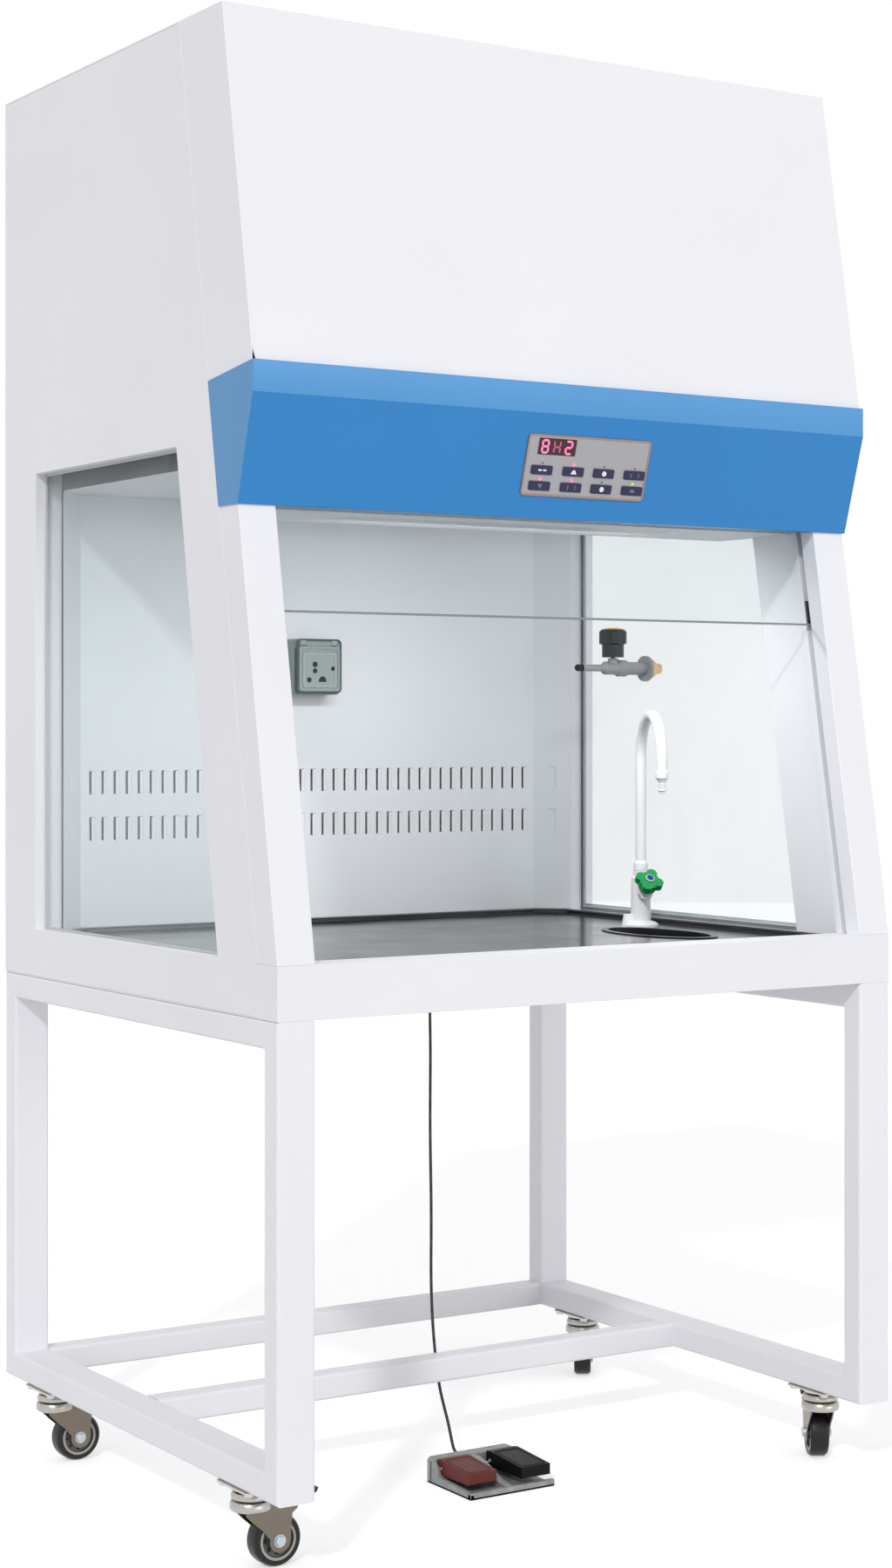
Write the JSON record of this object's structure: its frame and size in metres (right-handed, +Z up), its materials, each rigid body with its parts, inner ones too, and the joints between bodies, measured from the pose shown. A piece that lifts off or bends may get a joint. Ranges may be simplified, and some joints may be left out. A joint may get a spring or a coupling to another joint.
{
  "type": "ductless fume hood",
  "caption": "Ductless fume hood on a wheeled stand, with a sliding sash, side windows, control fascia, sink cup, tap and foot switch.",
  "frame": {"origin": "on the floor, under the middle of the hood's body", "axes": "+Z up, +X to the right of someone at the sash, +Y from the sash to the back"},
  "size_m": [1.1451, 0.92, 2.205],
  "materials": {
    "white_coat": "satin powder coat",
    "liner": "satin",
    "blue_coat": "satin powder coat",
    "worktop_black": "polished",
    "sink_black": "moulded",
    "window": "clear",
    "zinc": "bright zinc",
    "wheel": "rubber on a grey hub",
    "brake_black": "moulded",
    "lamp_white": "opal",
    "filter_card": "card and fibre",
    "carbon": "granular",
    "blower_steel": "galvanised",
    "control_steel": "brushed",
    "key_navy": "membrane",
    "socket_grey": "moulded",
    "valve_grey": "satin",
    "knob_dark": "moulded",
    "tap_coat": "satin",
    "knob_green": "moulded",
    "cast_grey": "cast, painted",
    "pedal_red": "moulded",
    "pedal_black": "moulded",
    "cord_black": "smooth"
  },
  "bodies": {
    "hood": {"side_frames": "white_coat", "cross_rails": "white_coat", "caster_plates": "zinc", "base_pan": "white_coat", "worktop": "worktop_black", "sink_cup": "sink_black", "left_outer_panel": "white_coat", "right_outer_panel": "white_coat", "inner_side_panels": "white_coat", "window_glass": "window", "rear_panel": "white_coat", "top_panel": "white_coat", "front_cover": "white_coat", "control_fascia": "blue_coat", "left_post": "white_coat", "right_post": "white_coat", "rear_baffle": "liner", "ceiling_panel": "liner", "front_bulkhead": "liner", "lamp": "lamp_white", "prefilter": "filter_card", "carbon_filter": "carbon", "blower_housing": "blower_steel", "control_plate": "control_steel", "socket_box": "socket_grey", "gas_valve": "valve_grey", "faucet_body": "tap_coat", "sash_drive_motor": "zinc", "foot_switch_base": "cast_grey", "foot_switch_cord": "cord_black", "cord_gland": "cord_black"},
    "sash": {"sash_glass": "window"},
    "drum": {"sash_drum_shaft": "zinc"},
    "impeller": {"blower_impeller": "blower_steel"},
    "socket_cover": {"socket_cover": "socket_grey"},
    "gas_knob": {"gas_valve_knob": "knob_dark"},
    "tap_neck": {"faucet_neck": "tap_coat"},
    "tap_knob": {"faucet_knob": "knob_green"},
    "red_pedal": {"red_pedal": "pedal_red"},
    "black_pedal": {"black_pedal": "pedal_black"},
    "key_1": {"key_1": "key_navy"},
    "key_2": {"key_2": "key_navy"},
    "key_3": {"key_3": "key_navy"},
    "key_4": {"key_4": "key_navy"},
    "key_5": {"key_5": "key_navy"},
    "key_6": {"key_6": "key_navy"},
    "key_7": {"key_7": "key_navy"},
    "key_8": {"key_8": "key_navy"},
    "front_left_swivel": {"front_left_fork": "zinc"},
    "front_left_wheel": {"front_left_wheel": "wheel"},
    "front_left_brake": {"front_left_brake": "brake_black"},
    "front_right_swivel": {"front_right_fork": "zinc"},
    "front_right_wheel": {"front_right_wheel": "wheel"},
    "front_right_brake": {"front_right_brake": "brake_black"},
    "rear_left_swivel": {"rear_left_fork": "zinc"},
    "rear_left_wheel": {"rear_left_wheel": "wheel"},
    "rear_left_brake": {"rear_left_brake": "brake_black"},
    "rear_right_swivel": {"rear_right_fork": "zinc"},
    "rear_right_wheel": {"rear_right_wheel": "wheel"},
    "rear_right_brake": {"rear_right_brake": "brake_black"}
  },
  "joints": [
    {"name": "sash_slide", "type": "slide", "parent": "hood", "child": "sash", "axis": [0, 0.1736, 0.9848], "range_m": [-0.485, 0.13]},
    {"name": "drum_turn", "type": "hinge", "parent": "hood", "child": "drum", "pos_m": [0, -0.11, 2.15], "axis": [1, 0, 0], "range_deg": [-300, 1115]},
    {"name": "impeller_spin", "type": "hinge", "parent": "hood", "child": "impeller", "pos_m": [0, 0.17, 1.88], "axis": [0, 0, 1], "continuous": true},
    {"name": "socket_cover_hinge", "type": "hinge", "parent": "hood", "child": "socket_cover", "pos_m": [-0.0255, 0.342, 1.326], "axis": [-1, 0, 0], "range_deg": [0, 110]},
    {"name": "gas_knob_turn", "type": "hinge", "parent": "hood", "child": "gas_knob", "pos_m": [0.452, 0.143, 1.303], "axis": [0, 0, 1], "range_deg": [0, 90]},
    {"name": "tap_neck_swivel", "type": "hinge", "parent": "hood", "child": "tap_neck", "pos_m": [0.403, -0.004, 0.93], "axis": [0, 0, 1], "range_deg": [-100, 40]},
    {"name": "tap_knob_turn", "type": "hinge", "parent": "hood", "child": "tap_knob", "pos_m": [0.39288, -0.035, 0.91261], "axis": [-0.2194, -0.6722, 0.7071], "range_deg": [0, 270]},
    {"name": "key_1_press", "type": "slide", "parent": "hood", "child": "key_1", "axis": [0, 0.9589, 0.2839], "range_m": [0, 0.0005], "stiffness_N_per_m": 400, "springref_m": -0.0005},
    {"name": "key_2_press", "type": "slide", "parent": "hood", "child": "key_2", "axis": [0, 0.9589, 0.2839], "range_m": [0, 0.0005], "stiffness_N_per_m": 400, "springref_m": -0.0005},
    {"name": "key_3_press", "type": "slide", "parent": "hood", "child": "key_3", "axis": [0, 0.9589, 0.2839], "range_m": [0, 0.0005], "stiffness_N_per_m": 400, "springref_m": -0.0005},
    {"name": "key_4_press", "type": "slide", "parent": "hood", "child": "key_4", "axis": [0, 0.9589, 0.2839], "range_m": [0, 0.0005], "stiffness_N_per_m": 400, "springref_m": -0.0005},
    {"name": "key_5_press", "type": "slide", "parent": "hood", "child": "key_5", "axis": [0, 0.9589, 0.2839], "range_m": [0, 0.0005], "stiffness_N_per_m": 400, "springref_m": -0.0005},
    {"name": "key_6_press", "type": "slide", "parent": "hood", "child": "key_6", "axis": [0, 0.9589, 0.2839], "range_m": [0, 0.0005], "stiffness_N_per_m": 400, "springref_m": -0.0005},
    {"name": "key_7_press", "type": "slide", "parent": "hood", "child": "key_7", "axis": [0, 0.9589, 0.2839], "range_m": [0, 0.0005], "stiffness_N_per_m": 400, "springref_m": -0.0005},
    {"name": "key_8_press", "type": "slide", "parent": "hood", "child": "key_8", "axis": [0, 0.9589, 0.2839], "range_m": [0, 0.0005], "stiffness_N_per_m": 400, "springref_m": -0.0005},
    {"name": "red_pedal_press", "type": "hinge", "parent": "hood", "child": "red_pedal", "pos_m": [-0.044, -0.115, 0.022], "axis": [1, 0, 0], "range_deg": [0, 7], "stiffness_Nm_per_rad": 1, "springref_deg": -8.59},
    {"name": "black_pedal_press", "type": "hinge", "parent": "hood", "child": "black_pedal", "pos_m": [0.034, -0.115, 0.022], "axis": [1, 0, 0], "range_deg": [0, 7], "stiffness_Nm_per_rad": 1, "springref_deg": -8.59},
    {"name": "front_left_swivel", "type": "hinge", "parent": "hood", "child": "front_left_swivel", "pos_m": [-0.52, -0.33, 0.1], "axis": [0, 0, 1], "continuous": true},
    {"name": "front_left_spin", "type": "hinge", "parent": "front_left_swivel", "child": "front_left_wheel", "pos_m": [-0.484, -0.33, 0.0375], "axis": [0, 1, 0], "continuous": true},
    {"name": "front_left_brake_press", "type": "hinge", "parent": "front_left_swivel", "child": "front_left_brake", "pos_m": [-0.462, -0.33, 0.0865], "axis": [0, 1, 0], "range_deg": [0, 25]},
    {"name": "front_right_swivel", "type": "hinge", "parent": "hood", "child": "front_right_swivel", "pos_m": [0.52, -0.33, 0.1], "axis": [0, 0, 1], "continuous": true},
    {"name": "front_right_spin", "type": "hinge", "parent": "front_right_swivel", "child": "front_right_wheel", "pos_m": [0.538, -0.29882, 0.0375], "axis": [-0.866, 0.5, 0], "continuous": true},
    {"name": "front_right_brake_press", "type": "hinge", "parent": "front_right_swivel", "child": "front_right_brake", "pos_m": [0.549, -0.27977, 0.0865], "axis": [-0.866, 0.5, 0], "range_deg": [0, 25]},
    {"name": "rear_left_swivel", "type": "hinge", "parent": "hood", "child": "rear_left_swivel", "pos_m": [-0.52, 0.33, 0.1], "axis": [0, 0, 1], "continuous": true},
    {"name": "rear_left_spin", "type": "hinge", "parent": "rear_left_swivel", "child": "rear_left_wheel", "pos_m": [-0.484, 0.33, 0.0375], "axis": [0, 1, 0], "continuous": true},
    {"name": "rear_left_brake_press", "type": "hinge", "parent": "rear_left_swivel", "child": "rear_left_brake", "pos_m": [-0.462, 0.33, 0.0865], "axis": [0, 1, 0], "range_deg": [0, 25]},
    {"name": "rear_right_swivel", "type": "hinge", "parent": "hood", "child": "rear_right_swivel", "pos_m": [0.52, 0.33, 0.1], "axis": [0, 0, 1], "continuous": true},
    {"name": "rear_right_spin", "type": "hinge", "parent": "rear_right_swivel", "child": "rear_right_wheel", "pos_m": [0.54065, 0.35949, 0.0375], "axis": [-0.8192, 0.5736, 0], "continuous": true},
    {"name": "rear_right_brake_press", "type": "hinge", "parent": "rear_right_swivel", "child": "rear_right_brake", "pos_m": [0.55327, 0.37751, 0.0865], "axis": [-0.8192, 0.5736, 0], "range_deg": [0, 25]}
  ],
  "couplings": [
    {"joint": "drum_turn", "follows": "sash_slide", "rad_per_m": -40}
  ]
}
